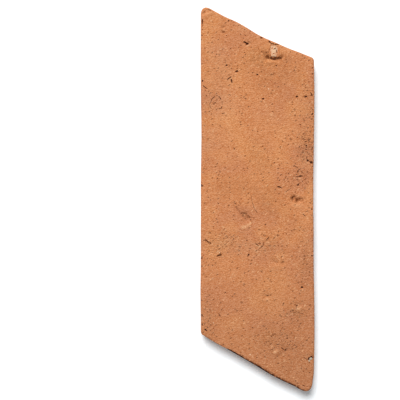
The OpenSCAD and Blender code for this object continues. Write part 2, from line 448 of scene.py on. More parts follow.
# Patches that short strokes cross, each with how many strokes it holds.
STROKES = (
    (Patch(305.8, 147, 6.5, 13, 1), 34),
    (Patch(299, 177, 12, 10, 1), 18),
    (Patch(280, 340, 22, 13, 1), 30),
    (Patch(222, 241, 17, 8, 1), 18),
    (Patch(268, 241, 14, 8, 1), 12),
    (Patch(307, 100, 7, 26, 1), 14),
    (Patch(296, 312, 9, 7, 1), 9),
    (Patch(212, 318, 10, 16, 1), 9),
)

PALE_GRAINS = ((268.5, 89), (289.5, 282), (219.5, 252.5), (213.5, 323), (250.3, 354.5))

# Stretch of the lower end that slivers have broken off, painted dark with shade.
SLIVERS_ACROSS = (229, 302)


# Sizes and colours that a user would change


class SlabSizes(bpy.types.PropertyGroup):
    """Sizes of the slab before it is marked."""

    upper_slant: FloatProperty(
        name="Upper slant",
        description="Slant of the upper end, off square with the long edges",
        default=math.radians(25.8),
        subtype="ANGLE",
    )
    lower_slant: FloatProperty(
        name="Lower slant",
        description="Slant of the lower end, off square with the long edges",
        default=math.radians(28.2),
        subtype="ANGLE",
    )
    upper_dip: FloatProperty(
        name="Upper dip",
        description="How far the upper end is hollow",
        default=3.2 * MM,
        unit="LENGTH",
    )
    dip_from_left: FloatProperty(
        name="Dip from left",
        description="Where the upper end is most hollow, from the left edge",
        default=56 * MM,
        unit="LENGTH",
    )
    lower_bow: FloatProperty(
        name="Lower bow",
        description="How far the lower end is bowed out",
        default=2.4 * MM,
        unit="LENGTH",
    )
    bow_from_right: FloatProperty(
        name="Bow from right",
        description="Where the lower end is bowed out most, from the right edge",
        default=37 * MM,
        unit="LENGTH",
    )
    tip_radius: FloatProperty(
        name="Tip radius",
        description="Radius of the upper left corner, seen from above",
        default=5.5 * MM,
        unit="LENGTH",
    )
    toe_radius: FloatProperty(
        name="Toe radius",
        description="Radius of the lower right corner",
        default=7 * MM,
        unit="LENGTH",
    )
    blunt_radius: FloatProperty(
        name="Blunt radius",
        description="Radius of the two blunt corners",
        default=3 * MM,
        unit="LENGTH",
    )
    face_arris: FloatProperty(
        name="Face arris",
        description="Rounding of the edge all round the walked face",
        default=1.6 * MM,
        unit="LENGTH",
    )
    bed_arris: FloatProperty(
        name="Bed arris",
        description="Rounding of the edge all round the bed face",
        default=1 * MM,
        unit="LENGTH",
    )
    skin: FloatProperty(
        name="Skin",
        description="Width of the faces that the slab's skin is made of",
        default=0.98 * MM,
        unit="LENGTH",
    )


class WearSizes(bpy.types.PropertyGroup):
    """How uneven, pitted and worn the fired clay is."""

    swell: FloatProperty(
        name="Swell",
        description="Height of the broad swells of the faces",
        default=0.45 * MM,
        unit="LENGTH",
    )
    ripple: FloatProperty(
        name="Ripple",
        description="Height of the small unevenness of the faces",
        default=0.1 * MM,
        unit="LENGTH",
    )
    pores: IntProperty(name="Pores", description="Small pores in the walked face", default=620)
    side_pores: IntProperty(name="Side pores", description="Small pores in the sides", default=90)
    nicks: IntProperty(name="Nicks", description="Nicks in the upper arris", default=130)
    slivers: IntProperty(name="Slivers", description="Slivers off the lower end", default=52)
    seed: IntProperty(name="Seed", description="Seed of all that is scattered", default=7)


class ClayColours(bpy.types.PropertyGroup):
    """Colours of the fired clay and of what is in it."""

    clay: FloatVectorProperty(
        name="Clay",
        description="Body colour of the fired clay",
        subtype="COLOR",
        default=(0.675, 0.26, 0.1),
    )
    rosy: FloatVectorProperty(
        name="Rosy",
        description="Colour of its browner, pinker bands",
        subtype="COLOR",
        default=(0.605, 0.23, 0.1),
    )
    pale: FloatVectorProperty(
        name="Pale",
        description="Colour of its lighter bands",
        subtype="COLOR",
        default=(0.725, 0.292, 0.107),
    )
    toe: FloatVectorProperty(
        name="Toe",
        description="Colour that the clay goes towards at its lower end",
        subtype="COLOR",
        default=(0.5, 0.197, 0.085),
    )
    # Darker tone of broad stains, and painted shade in hollows, pits and along the lower arris.
    dark_and_shaded: FloatVectorProperty(
        name="Darker_and_shaded",
        description="Tint of the clay where dirt lies in hollows",
        subtype="COLOR",
        default=(0.3, 0.2, 0.1),
    )
    # Paler tone of broad stains, painted highlights on the lips and ridges that face the lamp, and pale flecks
    # in the pitted parts.
    pale_and_lit: FloatVectorProperty(
        name="Paler_and_lit",
        description="Colour of rubbed lips and ridges",
        subtype="COLOR",
        default=(0.86, 0.46, 0.235),
    )
    # Painted shade inside the pits, scratches, pores, slivers, cracks, gap and socket, and in the pores too
    # small to model.
    pit: FloatVectorProperty(
        name="Pit",
        description="Tint of the clay inside the open pits",
        subtype="COLOR",
        default=(0.16, 0.085, 0.05),
    )
    lime: FloatVectorProperty(
        name="Lime",
        description="Colour of the lime pebble and the pale grains",
        subtype="COLOR",
        default=(0.86, 0.53, 0.32),
    )
    stone: FloatVectorProperty(
        name="Stone",
        description="Colour of the grey stone near the toe",
        subtype="COLOR",
        default=(0.52, 0.44, 0.33),
    )


class StageSizes(bpy.types.PropertyGroup):
    """Camera, lamps and ground."""

    lens: FloatProperty(name="Lens", description="Focal length", default=100)
    sensor: FloatProperty(name="Sensor", description="Width of the sensor", default=36)
    key: FloatProperty(name="Key", description="Strength of the key lamp", default=3.25)
    key_height: FloatProperty(
        name="Key height",
        description="Angle of the key lamp above the ground",
        default=math.radians(60),
        subtype="ANGLE",
    )
    key_side: FloatProperty(
        name="Key side",
        description="Angle of the key lamp, from the tip's side towards the left",
        default=math.radians(18),
        subtype="ANGLE",
    )
    key_width: FloatProperty(
        name="Key width",
        description="Width of the key lamp, as an angle seen from the tile",
        default=math.radians(25),
        subtype="ANGLE",
    )
    glow: FloatProperty(
        name="Glow", description="Light that the camera sees in the ground", default=0.18
    )
    fill: FloatProperty(name="Fill", description="Strength of the even light", default=0.16)


# Selecting and shaping by hand


def only(obj):
    """Makes obj the one selected and active object."""
    bpy.ops.object.select_all(action="DESELECT")
    obj.select_set(True)
    bpy.context.view_layer.objects.active = obj
    return obj


def pick(obj, wanted, kind="verts"):
    """In edit mode, selects the vertices or edges of obj that wanted says yes to."""
    bpy.ops.mesh.select_all(action="DESELECT")
    mesh = bmesh.from_edit_mesh(obj.data)
    for element in getattr(mesh, kind):
        if wanted(element):
            element.select_set(True)
    mesh.select_flush_mode()
    bmesh.update_edit_mesh(obj.data)


def apply_modifier(obj, kind, name, **settings):
    """Adds a modifier with these settings to obj and applies it."""
    only(obj)
    modifier = obj.modifiers.new(name, kind)
    for key, value in settings.items():
        setattr(modifier, key, value)
    bpy.ops.object.modifier_apply(modifier=modifier.name)


# The slab


def outline_corners(sizes):
    """Sharp corners of the outline: the upper end's three, then the lower end's three, each
    from the left."""
    width = HIGH.x - LOW.x
    upper = math.tan(sizes.upper_slant)
    lower = math.tan(sizes.lower_slant)
    tip_slope = upper + sizes.upper_dip / sizes.dip_from_left
    toe_slope = lower - sizes.lower_bow / sizes.bow_from_right

    def rounded_off(radius, slope):
        return radius * (1 / math.tan((math.pi / 2 - math.atan(slope)) / 2) - 1)

    tip = Vector((LOW.x, HIGH.y + rounded_off(sizes.tip_radius, tip_slope)))
    toe = Vector((HIGH.x, LOW.y - rounded_off(sizes.toe_radius, toe_slope)))
    dip = tip + Vector((1, -tip_slope)) * sizes.dip_from_left
    bow = toe + Vector((-1, toe_slope)) * sizes.bow_from_right
    shoulder = tip + Vector((1, -upper)) * width
    heel = toe + Vector((-1, lower)) * width
    return tip, dip, shoulder, heel, bow, toe


def round_corner(slab, before, corner, after, radius):
    """Rounds the upright edge at a corner of the outline."""
    turn = (corner - before).angle(after - corner)
    pick(slab, lambda e: all((v.co.xy - corner).length < TINY for v in e.verts), "edges")
    bpy.ops.mesh.bevel(
        offset_type="OFFSET",
        offset=radius * math.tan(turn / 2),
        segments=max(3, round(turn / math.radians(10))),
        clamp_overlap=False,
    )


def round_rim(slab, level, radius):
    """Rounds the edge all round the face at this level."""

    def on_rim(edge):
        level_edge = all(abs(v.co.z - level) < TINY for v in edge.verts)
        return level_edge and any(abs(face.normal.z) < 0.5 for face in edge.link_faces)

    pick(slab, on_rim, "edges")
    bpy.ops.mesh.bevel(offset_type="OFFSET", offset=radius, segments=4, clamp_overlap=False)


def cut_slab(sizes):
    """The slab with its outline, its rounded corners and arrises and a fine, even skin."""
    bpy.ops.mesh.primitive_cube_add(size=1, location=(LOW + HIGH) / 2, scale=HIGH - LOW)
    slab = only(bpy.context.object)
    slab.name = slab.data.name = "chevron_tile"
    bpy.ops.object.transform_apply(location=True, rotation=True, scale=True)
    tip, dip, shoulder, heel, bow, toe = outline_corners(sizes)
    upper = [tip, dip, dip.lerp(shoulder, (bow.x - dip.x) / (shoulder.x - dip.x)), shoulder]
    lower = [heel, heel.lerp(bow, (dip.x - heel.x) / (bow.x - heel.x)), bow, toe]
    bpy.ops.object.mode_set(mode="EDIT")
    for bend in (dip, bow):
        bpy.ops.mesh.select_all(action="SELECT")
        bpy.ops.mesh.bisect(plane_co=(bend.x, 0, 0), plane_no=(1, 0, 0))
    bpy.ops.mesh.select_mode(type="VERT")
    for level, line in ((HIGH.y, upper), (LOW.y, lower)):
        for point in line:
            old = Vector((point.x, level))
            pick(slab, lambda v, old=old: (v.co.xy - old).length < TINY)
            bpy.ops.transform.translate(value=(0, point.y - level, 0))
    bpy.ops.mesh.select_mode(type="EDGE")
    eased = 120 * MM
    round_corner(slab, heel, tip, dip, sizes.tip_radius)
    round_corner(slab, tip, dip, shoulder, eased)
    round_corner(slab, dip, shoulder, toe, sizes.blunt_radius)
    round_corner(slab, shoulder, toe, bow, sizes.toe_radius)
    round_corner(slab, toe, bow, heel, eased)
    round_corner(slab, bow, heel, tip, sizes.blunt_radius)
    round_rim(slab, HIGH.z, sizes.face_arris)
    round_rim(slab, LOW.z, sizes.bed_arris)
    bpy.ops.object.mode_set(mode="OBJECT")
    apply_modifier(slab, "REMESH", "skin", mode="VOXEL", voxel_size=sizes.skin)
    return slab


# Pressing the slab uneven


def push(slab, tree, places, shift, core, reach):
    """Moves what lies within core of these places, and less and less of what lies round it."""
    bpy.ops.mesh.select_all(action="DESELECT")
    mesh = bmesh.from_edit_mesh(slab.data)
    mesh.verts.ensure_lookup_table()
    for place in places:
        for _, index, _ in tree.find_range(place, core):
            mesh.verts[index].select_set(True)
    mesh.select_flush_mode()
    bmesh.update_edit_mesh(slab.data)
    bpy.ops.transform.translate(
        value=shift,
        use_proportional_edit=True,
        proportional_edit_falloff="SMOOTH",
        proportional_size=reach,
    )


def along_path(path, step):
    """Places on the walked face, a step apart, along a path of pixels."""
    points = [at_pixel(*pixel) for pixel in path]
    places = [points[0].to_3d()]
    for start, end in zip(points, points[1:]):
        count = max(1, round((end - start).length / step))
        places += [start.lerp(end, k / count).to_3d() for k in range(1, count + 1)]
    for place in places:
        place.z = HIGH.z
    return places


def cloud(name, size, depth):
    """A soft noise for pressing a surface uneven."""
    texture = bpy.data.textures.new(name, "CLOUDS")
    texture.noise_scale = size
    texture.noise_depth = depth
    texture.noise_basis = "IMPROVED_PERLIN"
    return texture


def press_slab(slab, wear):
    """Presses the soft slab: its sides bend, its faces swell and dip."""
    tree = kdtree.KDTree(len(slab.data.vertices))
    for vertex in slab.data.vertices:
        tree.insert(vertex.co, vertex.index)
    tree.balance()
    only(slab)
    bpy.ops.object.mode_set(mode="EDIT")
    bpy.ops.mesh.select_mode(type="VERT")
    middle = (LOW.z + HIGH.z) / 2
    for bend in BENDS:
        spot = at_pixel(bend.across, bend.down)
        places = [Vector((*spot, middle + k * 2 * MM)) for k in range(-4, 5)]
        shift = (bend.shift_x * MM, bend.shift_y * MM, 0)
        push(slab, tree, places, shift, 2 * MM, bend.reach * MM)
    for hollow in HOLLOWS:
        places = along_path(hollow.path, 1 * MM)
        push(slab, tree, places, (0, 0, -hollow.depth * MM), 0.9 * MM, hollow.reach * MM)
    bpy.ops.object.mode_set(mode="OBJECT")
    for name, height, size, depth in (
        ("swell", wear.swell, 34 * MM, 1),
        ("ripple", wear.ripple, 3.4 * MM, 1),
    ):
        apply_modifier(
            slab,
            "DISPLACE",
            name,
            texture=cloud(name, size, depth),
            texture_coords="LOCAL",
            strength=height,
            mid_level=0.5,
        )
    only(slab)
    bpy.ops.object.mode_set(mode="EDIT")
    high = HIGH.z + 0.25 * MM
    pick(slab, lambda v: v.co.z > high)
    bpy.ops.transform.resize(value=(1, 1, 0.4), center_override=(0, 0, high))
    bpy.ops.object.mode_set(mode="OBJECT")


def thin_bed(slab):
    """Flattens the bed, and thins out its skin, which has no marks."""
    only(slab)
    bpy.ops.object.mode_set(mode="EDIT")
    bpy.ops.mesh.select_mode(type="VERT")
    pick(slab, lambda v: v.co.z < 0.3 * MM and v.normal.z < -0.8)
    bpy.ops.transform.resize(value=(1, 1, 0), center_override=(0, 0, 0))
    pick(slab, lambda v: v.co.z < 0.8 * MM)
    bpy.ops.mesh.decimate(ratio=0.05)
    bpy.ops.object.mode_set(mode="OBJECT")


# Cutting the marks


def surface_at(slab, x, y):
    """Place and normal of the slab's skin under a point above it, or None off the slab."""
    hit, place, normal, _ = slab.ray_cast((x, y, 2 * HIGH.z), (0, 0, -1))
    return (place, normal) if hit and place.z > 0.6 * HIGH.z else None


class Ball(NamedTuple):
    """A ball that lies half in a surface, turned about its normal. Its sizes are in metres."""

    place: Vector
    normal: Vector
    turn: float
    length: float
    width: float
    depth: float
    rounds: int = 1

    def clear_of(self, other):
        """Whether the two balls lie well apart."""
        reach = (max(self.length, self.width) + max(other.length, other.width)) / 2
        return (self.place - other.place).length > 1.2 * reach + 0.1 * MM


def model_balls(name, material, balls, jitter, seed):
    """One mesh of many uneven balls."""
    bpy.ops.object.add(type="MESH")
    tool = only(bpy.context.object)
    tool.name = tool.data.name = name
    tool.data.materials.append(material)
    bpy.ops.object.mode_set(mode="EDIT")
    up = Vector((0, 0, 1))
    for ball in balls:
        facing = up.rotation_difference(ball.normal) @ Quaternion(up, ball.turn)
        bpy.ops.mesh.primitive_ico_sphere_add(
            subdivisions=ball.rounds,
            radius=1,
            location=ball.place,
            rotation=facing.to_euler(),
            scale=(ball.length / 2, ball.width / 2, ball.depth),
        )
    bpy.ops.mesh.select_all(action="SELECT")
    bpy.ops.transform.vertex_random(offset=jitter, uniform=1, normal=0, seed=seed)
    bpy.ops.object.mode_set(mode="OBJECT")
    return tool


def use_tool(slab, tool, operation):
    """Cuts a tool out of the slab or joins it on, and throws the tool away."""
    apply_modifier(
        slab,
        "BOOLEAN",
        tool.name,
        object=tool,
        operation=operation,
        solver="MANIFOLD",
        material_mode="TRANSFER",
    )
    only(tool)
    bpy.ops.object.delete()


def use_balls(slab, name, material, balls, jitter, seed, operation="DIFFERENCE"):
    """Cuts balls out of the slab or joins them on, in as many goes as keep them apart."""
    goes = []
    for ball in balls:
        for go in goes:
            if all(ball.clear_of(other) for other in go):
                go.append(ball)
                break
        else:
            goes.append([ball])
    for go in goes:
        use_tool(slab, model_balls(name, material, go, jitter, seed), operation)


def cut_pits(slab, clay, pit):
    """Cuts the pits of the list, each with a shallow lip round a core painted dark with shade."""
    lips, cores = [], []
    dots = [Mark(*spot, w, w, 0, 0.7 * w) for w, spots in DOTS.items() for spot in spots]
    for mark in (*PITS, *dots):
        found = surface_at(slab, *at_pixel(mark.across, mark.down))
        if found:
            width, length, depth = mark.width * MM, mark.length * MM, mark.depth * MM
            turn = math.radians(mark.turn)
            rounds = 2 if mark.width > 1.2 else 1
            lower = found[0] - Vector((0, 0.3 * width, 0))
            lip = 0.7 * MM
            lips.append(Ball(lower, found[1], turn, length + lip, width + lip, 0.6 * depth, 2))
            cores.append(Ball(*found, turn, length, width, depth, rounds))
    use_balls(slab, "lips", clay, lips, 0.08 * MM, 11)
    use_balls(slab, "pits", pit, cores, 0.1 * MM, 1)


def cut_scratches(slab, pit):
    """Cuts the scratches of the list, each as a row of long, thin balls."""
    balls = []
    for scratch in SCRATCHES:
        points = [at_pixel(*pixel) for pixel in scratch.path]
        for start, end in zip(points, points[1:]):
            run = end - start
            found = surface_at(slab, *(start + end) / 2)
            if found:
                turn = math.atan2(run.y, run.x)
                sizes = (1.35 * run.length, scratch.width * MM, scratch.depth * MM)
                balls.append(Ball(*found, turn, *sizes, 2))
    # The pit material paints shade into the scratches.
    use_balls(slab, "scratches", pit, balls, 0.04 * MM, 2)


def pitted_share(x, y):
    """How pitted the walked face is at a place, between 0 and 1."""
    share = 0.15
    for patch in PITTED:
        middle = at_pixel(patch.across, patch.down)
        across = (x - middle.x) / (patch.width * MM)
        along = (y - middle.y) / (patch.length * MM)
        share += patch.share * math.exp(-(across * across + along * along))
    return min(1, share)


def cut_pores(slab, clay, dim, wear):
    """Cuts the small pores and strokes of the walked face, and the pores of the sides."""
    rng = random.Random(wear.seed)
    plain, dark = [], []
    while len(plain) + len(dark) < wear.pores:
        x = rng.uniform(LOW.x, HIGH.x)
        y = rng.uniform(LOW.y, HIGH.y)
        found = rng.random() < pitted_share(x, y) and surface_at(slab, x, y)
        if found:
            width = (0.4 + 0.6 * rng.random() ** 2) * MM
            length = width * rng.uniform(1, 3)
            depth = width * rng.uniform(0.6, 0.9)
            turn = math.radians(rng.choice((42, -40)) + rng.gauss(0, 22))
            group = dark if rng.random() < 0.45 else plain
            group.append(Ball(*found, turn, length, width, depth))
    for patch, count in STROKES:
        middle = at_pixel(patch.across, patch.down)
        for _ in range(count):
            toward, out = rng.uniform(0, 2 * math.pi), rng.random() ** 0.6
            x = middle.x + out * math.cos(toward) * patch.width * MM
            y = middle.y + out * math.sin(toward) * patch.length * MM
            width = rng.uniform(0.6, 1) * MM
            length = rng.uniform(1.4, 3.2) * MM
            turn = math.radians(rng.choice((45, 40, -42)) + rng.gauss(0, 12))
            group = dark if rng.random() < 0.36 else plain
            found = surface_at(slab, x, y)
            if found:
                group.append(Ball(*found, turn, length, width, 0.7 * width))
    for _ in range(wear.side_pores):
        toward = rng.uniform(0, 2 * math.pi)
        out = Vector((math.cos(toward), math.sin(toward), 0))
        aim = Vector((0, rng.uniform(0.8 * LOW.y, 0.8 * HIGH.y), rng.uniform(0.1, 0.85) * HIGH.z))
        hit, place, normal, _ = slab.ray_cast(aim + out, -out)
        if hit:
            width = rng.uniform(0.6, 1.4) * MM
            dark.append(Ball(place, normal, 0, width * rng.uniform(1, 2), width, 0.6 * width))
    use_balls(slab, "plain_pores", clay, plain, 0.05 * MM, 14)
    # The dim material paints shade into the dark pores.
    use_balls(slab, "pores", dim, dark, 0.05 * MM, 3)


def wear_arris(slab, corners, pit, clay, wear):
    """Nicks the upper arris all round, and breaks slivers off it at the lower end."""
    tip, dip, shoulder, heel, bow, toe = corners
    ring = (tip, dip, shoulder, toe, bow, heel, tip)
    lengths = [(end - start).length for start, end in zip(ring, ring[1:])]
    rng = random.Random(wear.seed + 1)
    balls = []
    for _ in range(wear.nicks):
        side = rng.choices(range(len(lengths)), lengths)[0]
        start, end = ring[side], ring[side + 1]
        run = (end - start).normalized()
        inward = Vector((run.y, -run.x)) * rng.uniform(0.5, 1.1) * MM
        found = surface_at(slab, *start.lerp(end, rng.random()) + inward)
        if found:
            width = rng.uniform(0.6, 1.5) * MM
            length = width * rng.uniform(1, 2.6)
            turn = math.atan2(run.y, run.x) + rng.uniform(-0.4, 0.4)
            balls.append(Ball(*found, turn, length, width, 0.35 * width, 2))
    use_balls(slab, "nicks", clay, balls, 0.08 * MM, 4)
    balls = []
    for _ in range(wear.slivers):
        x = at_pixel(rng.uniform(*SLIVERS_ACROSS), 0).x
        start, end = (heel, bow) if x < bow.x else (bow, toe)
        run = (end - start).normalized()
        spot = start + run * ((x - start.x) / run.x)
        outward = Vector((run.y, -run.x)) * 0.2 * MM
        steps = [k for k in range(-8, 9) if surface_at(slab, *spot + outward * k)]
        found = steps and surface_at(slab, *spot + outward * (steps[-1] - rng.uniform(0.5, 4)))
        if found:
            width = rng.uniform(1, 1.7) * MM
            length = rng.uniform(2, 7) * MM
            turn = math.atan2(run.y, run.x) + rng.uniform(-0.15, 0.15)
            balls.append(Ball(*found, turn, length, width, 0.6 * width, 2))
    # The pit material paints shade along the lower arris, in the slivers' breaks.
    use_balls(slab, "slivers", pit, balls, 0.08 * MM, 5)


# Lime and stone in the clay


def set_pebble(slab, clay, pit, dim, lime):
    """Opens the pocket near the upper end and sets the lime pebble in it."""
    up = Vector((0, 0, 1))
    pocket = Vector((*at_pixel(274, 52.6), HIGH.z + 0.2 * MM))
    sizes = (10 * MM, 14 * MM, 1.9 * MM)
    use_balls(slab, "pocket", clay, [Ball(pocket, up, 0, *sizes, 4)], 0.12 * MM, 6)
    seat = Vector((*at_pixel(274.2, 50.8), HIGH.z - 1.5 * MM))
    size = Vector((7 * MM, 10.6 * MM, 3.2 * MM))
    bpy.ops.mesh.primitive_cube_add(size=1, location=seat, scale=size)
    pebble = only(bpy.context.object)
    pebble.name = pebble.data.name = "pebble"
    pebble.data.materials.append(lime)
    bpy.ops.object.transform_apply(location=True, rotation=True, scale=True)
    bpy.ops.object.mode_set(mode="EDIT")
    bpy.ops.mesh.select_mode(type="VERT")
    pick(pebble, lambda v: v.co.y < seat.y)
    bpy.ops.transform.resize(value=(0.72, 1, 1), center_override=seat)
    bpy.ops.mesh.select_all(action="SELECT")
    bpy.ops.mesh.bevel(offset=1.2 * MM, segments=3, clamp_overlap=False)
    bpy.ops.mesh.subdivide(number_cuts=2)
    bpy.ops.mesh.select_all(action="SELECT")
    bpy.ops.transform.vertex_random(offset=0.24 * MM, uniform=1, normal=0, seed=7)
    bpy.ops.mesh.quads_convert_to_tris()
    bpy.ops.object.mode_set(mode="OBJECT")
    use_tool(slab, pebble, "UNION")
    balls = []
    for across, down, turn, length, width in (
        (274.8, 48.7, 25, 3, 0.8),
        (276.5, 51.4, 105, 3.6, 0.8),
        (273.6, 53.6, 30, 2.2, 0.9),
        (272.6, 48.2, 100, 1.6, 0.6),
        (277.8, 47, 80, 2.4, 1),
    ):
        spot = Vector((*at_pixel(across, down), HIGH.z + 0.1 * MM))
        turn = math.radians(turn)
        balls.append(Ball(spot, up, turn, length * MM, width * MM, 0.7 * MM, 2))
    # The dim material paints shade into the pebble's two cracks.
    use_balls(slab, "cracks", dim, balls[:2], 0.1 * MM, 13)
    use_balls(slab, "dents", clay, balls[2:], 0.1 * MM, 15)
    balls = []
    for across, down, turn, length, width in (
        (268.8, 56.8, -30, 3, 1.2),
        (271.6, 58, -20, 3.6, 2),
        (274.6, 58.5, 0, 4, 3),
        (278.2, 58, 12, 3.4, 1.8),
        (280.8, 57.6, 10, 2, 0.9),
    ):
        spot = Vector((*at_pixel(across, down), HIGH.z - 0.5 * MM))
        turn = math.radians(turn)
        balls.append(Ball(spot, up, turn, length * MM, width * MM, 1.1 * MM, 2))
    # The dim material paints the pebble's shadow and the shade in the gap below it.
    use_balls(slab, "gap", dim, balls, 0.1 * MM, 8)


def set_grains(slab, pit, lime, stone, wear):
    """Sets the pale grains in the clay, and the grey stone by the toe."""
    rng = random.Random(wear.seed + 2)
    spots = [(*at_pixel(*pixel), 1.1 * MM) for pixel in PALE_GRAINS]
    for _ in range(14):
        x, y = rng.uniform(LOW.x, HIGH.x), rng.uniform(LOW.y, HIGH.y)
        spots.append((x, y, rng.uniform(0.4, 0.7) * MM))
    balls = []
    for x, y, width in spots:
        found = surface_at(slab, x, y)
        if found and found[1].z > 0.9:
            turn = rng.uniform(0, math.pi)
            balls.append(Ball(*found, turn, 1.3 * width, width, 0.12 * width, 2))
    use_balls(slab, "grains", lime, balls, 0.02 * MM, 9, "UNION")
    level = surface_at(slab, *at_pixel(308, 352))[0].z
    up = Vector((0, 0, 1))
    # The socket is cut with the pit material, which paints shade round the top of the stone.
    for name, material, operation, parts in (
        ("socket", pit, "DIFFERENCE", ((311.4, 357.4, 25, 4.4, 2.8, 1.5), (309.2, 358.6, -20, 2.8, 3.6, 1.2))),
        ("stone", stone, "UNION", ((310.8, 359, 30, 3, 2.6, 0.9), (309.2, 361, -15, 2.6, 1.7, 0.6))),
    ):
        balls = []
        for across, down, turn, length, width, depth in parts:
            spot = Vector((*at_pixel(across, down), level - (0.5 * MM if name == "stone" else 0)))
            size = (length * MM, width * MM, depth * MM)
            balls.append(Ball(spot, up, math.radians(turn), *size, 2))
        use_balls(slab, name, material, balls, 0.16 * MM, 12, operation)


# Materials


def add(tree, kind, inputs=None, **settings):
    """Adds a node with these settings; each input is a value or another node's output."""
    node = tree.nodes.new(kind)
    for key, value in settings.items():
        setattr(node, key, value)
    for key, value in (inputs or {}).items():
        if isinstance(value, bpy.types.NodeSocket):
            tree.links.new(value, node.inputs[key])
        else:
            node.inputs[key].default_value = value
    return node


MIX_A, MIX_B, MIX_OUT = 6, 7, 2


def mix(tree, share, first, second, blend="MIX"):
    """Colour between two others."""
    inputs = {0: share, MIX_A: first, MIX_B: second}
    node = add(tree, "ShaderNodeMix", inputs, data_type="RGBA", blend_type=blend)
    return node.outputs[MIX_OUT]


def ramp(tree, value, low, high, start=0, end=1):
    """Value that goes smoothly from start to end while another goes from low to high."""
    inputs = {"Value": value, 1: low, 2: high, 3: start, 4: end}
    node = add(tree, "ShaderNodeMapRange", inputs, interpolation_type="SMOOTHSTEP")
    return node.outputs["Result"]


def math_node(tree, operation, first, second):
    return add(tree, "ShaderNodeMath", {0: first, 1: second}, operation=operation).outputs[0]


def new_group(name, inputs, outputs):
    """An empty group with these sockets: each a name, a type and a default or None."""
    tree = bpy.data.node_groups.new(name, "ShaderNodeTree")
    for where, sockets in (("INPUT", inputs), ("OUTPUT", outputs)):
        for label, kind, default in sockets:
            socket = tree.interface.new_socket(label, in_out=where, socket_type=kind)
            if default is not None:
                socket.default_value = default
    entry = tree.nodes.new("NodeGroupInput")
    leave = tree.nodes.new("NodeGroupOutput")
    return tree, entry.outputs, leave.inputs


VECTOR, COLOUR, NUMBER = "NodeSocketVector", "NodeSocketColor", "NodeSocketFloat"


def banded_clay():
    """Group: clay in broad soft bands on the slant, with fine mottling."""
    white = (1, 1, 1, 1)
    tree, given, result = new_group(
        "Banded clay",
        (
            ("Vector", VECTOR, None),
            ("Clay", COLOUR, white),
            ("Rosy", COLOUR, white),
            ("Pale", COLOUR, white),
            ("Toe", COLOUR, white),
        ),
        (("Color", COLOUR, None),),
    )
    slanted = add(
        tree,
        "ShaderNodeMapping",
        {"Vector": given["Vector"], "Rotation": (0, 0, math.radians(38)), "Scale": (1, 2.4, 1)},
    ).outputs[0]
    bands = add(tree, "ShaderNodeTexNoise", {"Vector": slanted, "Scale": 13, "Detail": 2})
    patches = add(
        tree, "ShaderNodeTexNoise", {"Vector": given["Vector"], "Scale": 38, "Detail": 1}
    )
    mottle = add(
        tree, "ShaderNodeTexNoise", {"Vector": slanted, "Scale": 880, "Detail": 3, "Roughness": 0.75}
    )
    to_toe = add(
        tree,
        "ShaderNodeVectorMath",
        {0: given["Vector"], 1: (0.35, -0.94, 0)},
        operation="DOT_PRODUCT",
    ).outputs["Value"]
    share = ramp(tree, bands.outputs[0], 0.42, 0.64, 0, 0.8)
    colour = mix(tree, share, given["Clay"], given["Rosy"])
    colour = mix(tree, ramp(tree, patches.outputs[0], 0.45, 0.72, 0, 0.7), colour, given["Pale"])
    colour = mix(tree, ramp(tree, to_toe, 0, 0.185, 0, 0.85), colour, given["Toe"])
    light = ramp(tree, mottle.outputs[0], 0.33, 0.67, 0.79, 1.21)
    deeper = math_node(tree, "POWER", light, 2.1)
    deepest = math_node(tree, "POWER", light, 3.5)
    tinge = add(tree, "ShaderNodeCombineColor", {0: light, 1: deeper, 2: deepest}).outputs[0]
    colour = mix(tree, 1.0, colour, tinge, "MULTIPLY")
    tree.links.new(colour, result["Color"])
    return tree


def fine_pores():
    """Group: mask of pores too small to model."""
    tree, given, result = new_group(
        "Fine pores",
        (("Vector", VECTOR, None), ("Scale", NUMBER, 500), ("Share", NUMBER, 0.3)),
        (("Mask", NUMBER, None),),
    )
    slanted = add(
        tree,
        "ShaderNodeMapping",
        {"Vector": given["Vector"], "Rotation": (0, 0, math.radians(42)), "Scale": (2, 1, 1)},
        vector_type="TEXTURE",
    ).outputs[0]
    cells = add(tree, "ShaderNodeTexVoronoi", {"Vector": slanted, "Scale": given["Scale"]})
    chosen = add(tree, "ShaderNodeSeparateColor", {0: cells.outputs["Color"]}).outputs[0]
    open_cell = math_node(tree, "LESS_THAN", chosen, given["Share"])
    near = ramp(tree, cells.outputs["Distance"], 0.2, 0.4, 1, 0)
    tree.links.new(math_node(tree, "MULTIPLY", near, open_cell), result["Mask"])
    return tree


def broken_up():
    """Group: a soft value broken up by the grain of the clay."""
    tree, given, result = new_group(
        "Broken up",
        (("Vector", VECTOR, None), ("Value", NUMBER, 0)),
        (("Value", NUMBER, None),),
    )
    noise = add(tree, "ShaderNodeTexNoise", {"Vector": given["Vector"], "Scale": 420, "Detail": 3})
    share = ramp(tree, noise.outputs[0], 0.32, 0.62, 0.15, 1.4)
    tree.links.new(math_node(tree, "MULTIPLY", given["Value"], share), result["Value"])
    return tree


def clay_grain():
    """Group: height of the sandy grain of fired clay, with its fine pores sunk in it."""
    tree, given, result = new_group(
        "Clay grain",
        (("Vector", VECTOR, None), ("Pores", NUMBER, 0), ("Pitted", NUMBER, 0.3)),
        (("Height", NUMBER, None),),
    )
    slanted = add(
        tree,
        "ShaderNodeMapping",
        {"Vector": given["Vector"], "Rotation": (0, 0, math.radians(-40)), "Scale": (1, 1.8, 1)},
    ).outputs[0]
    sand = add(tree, "ShaderNodeTexNoise", {"Vector": slanted, "Scale": 680, "Detail": 4})
    coarse = ramp(tree, given["Pitted"], 0.12, 0.8, 2.3, 6.5)
    height = math_node(tree, "MULTIPLY", sand.outputs[0], coarse)
    height = math_node(tree, "SUBTRACT", height, given["Pores"])
    tree.links.new(height, result["Height"])
    return tree


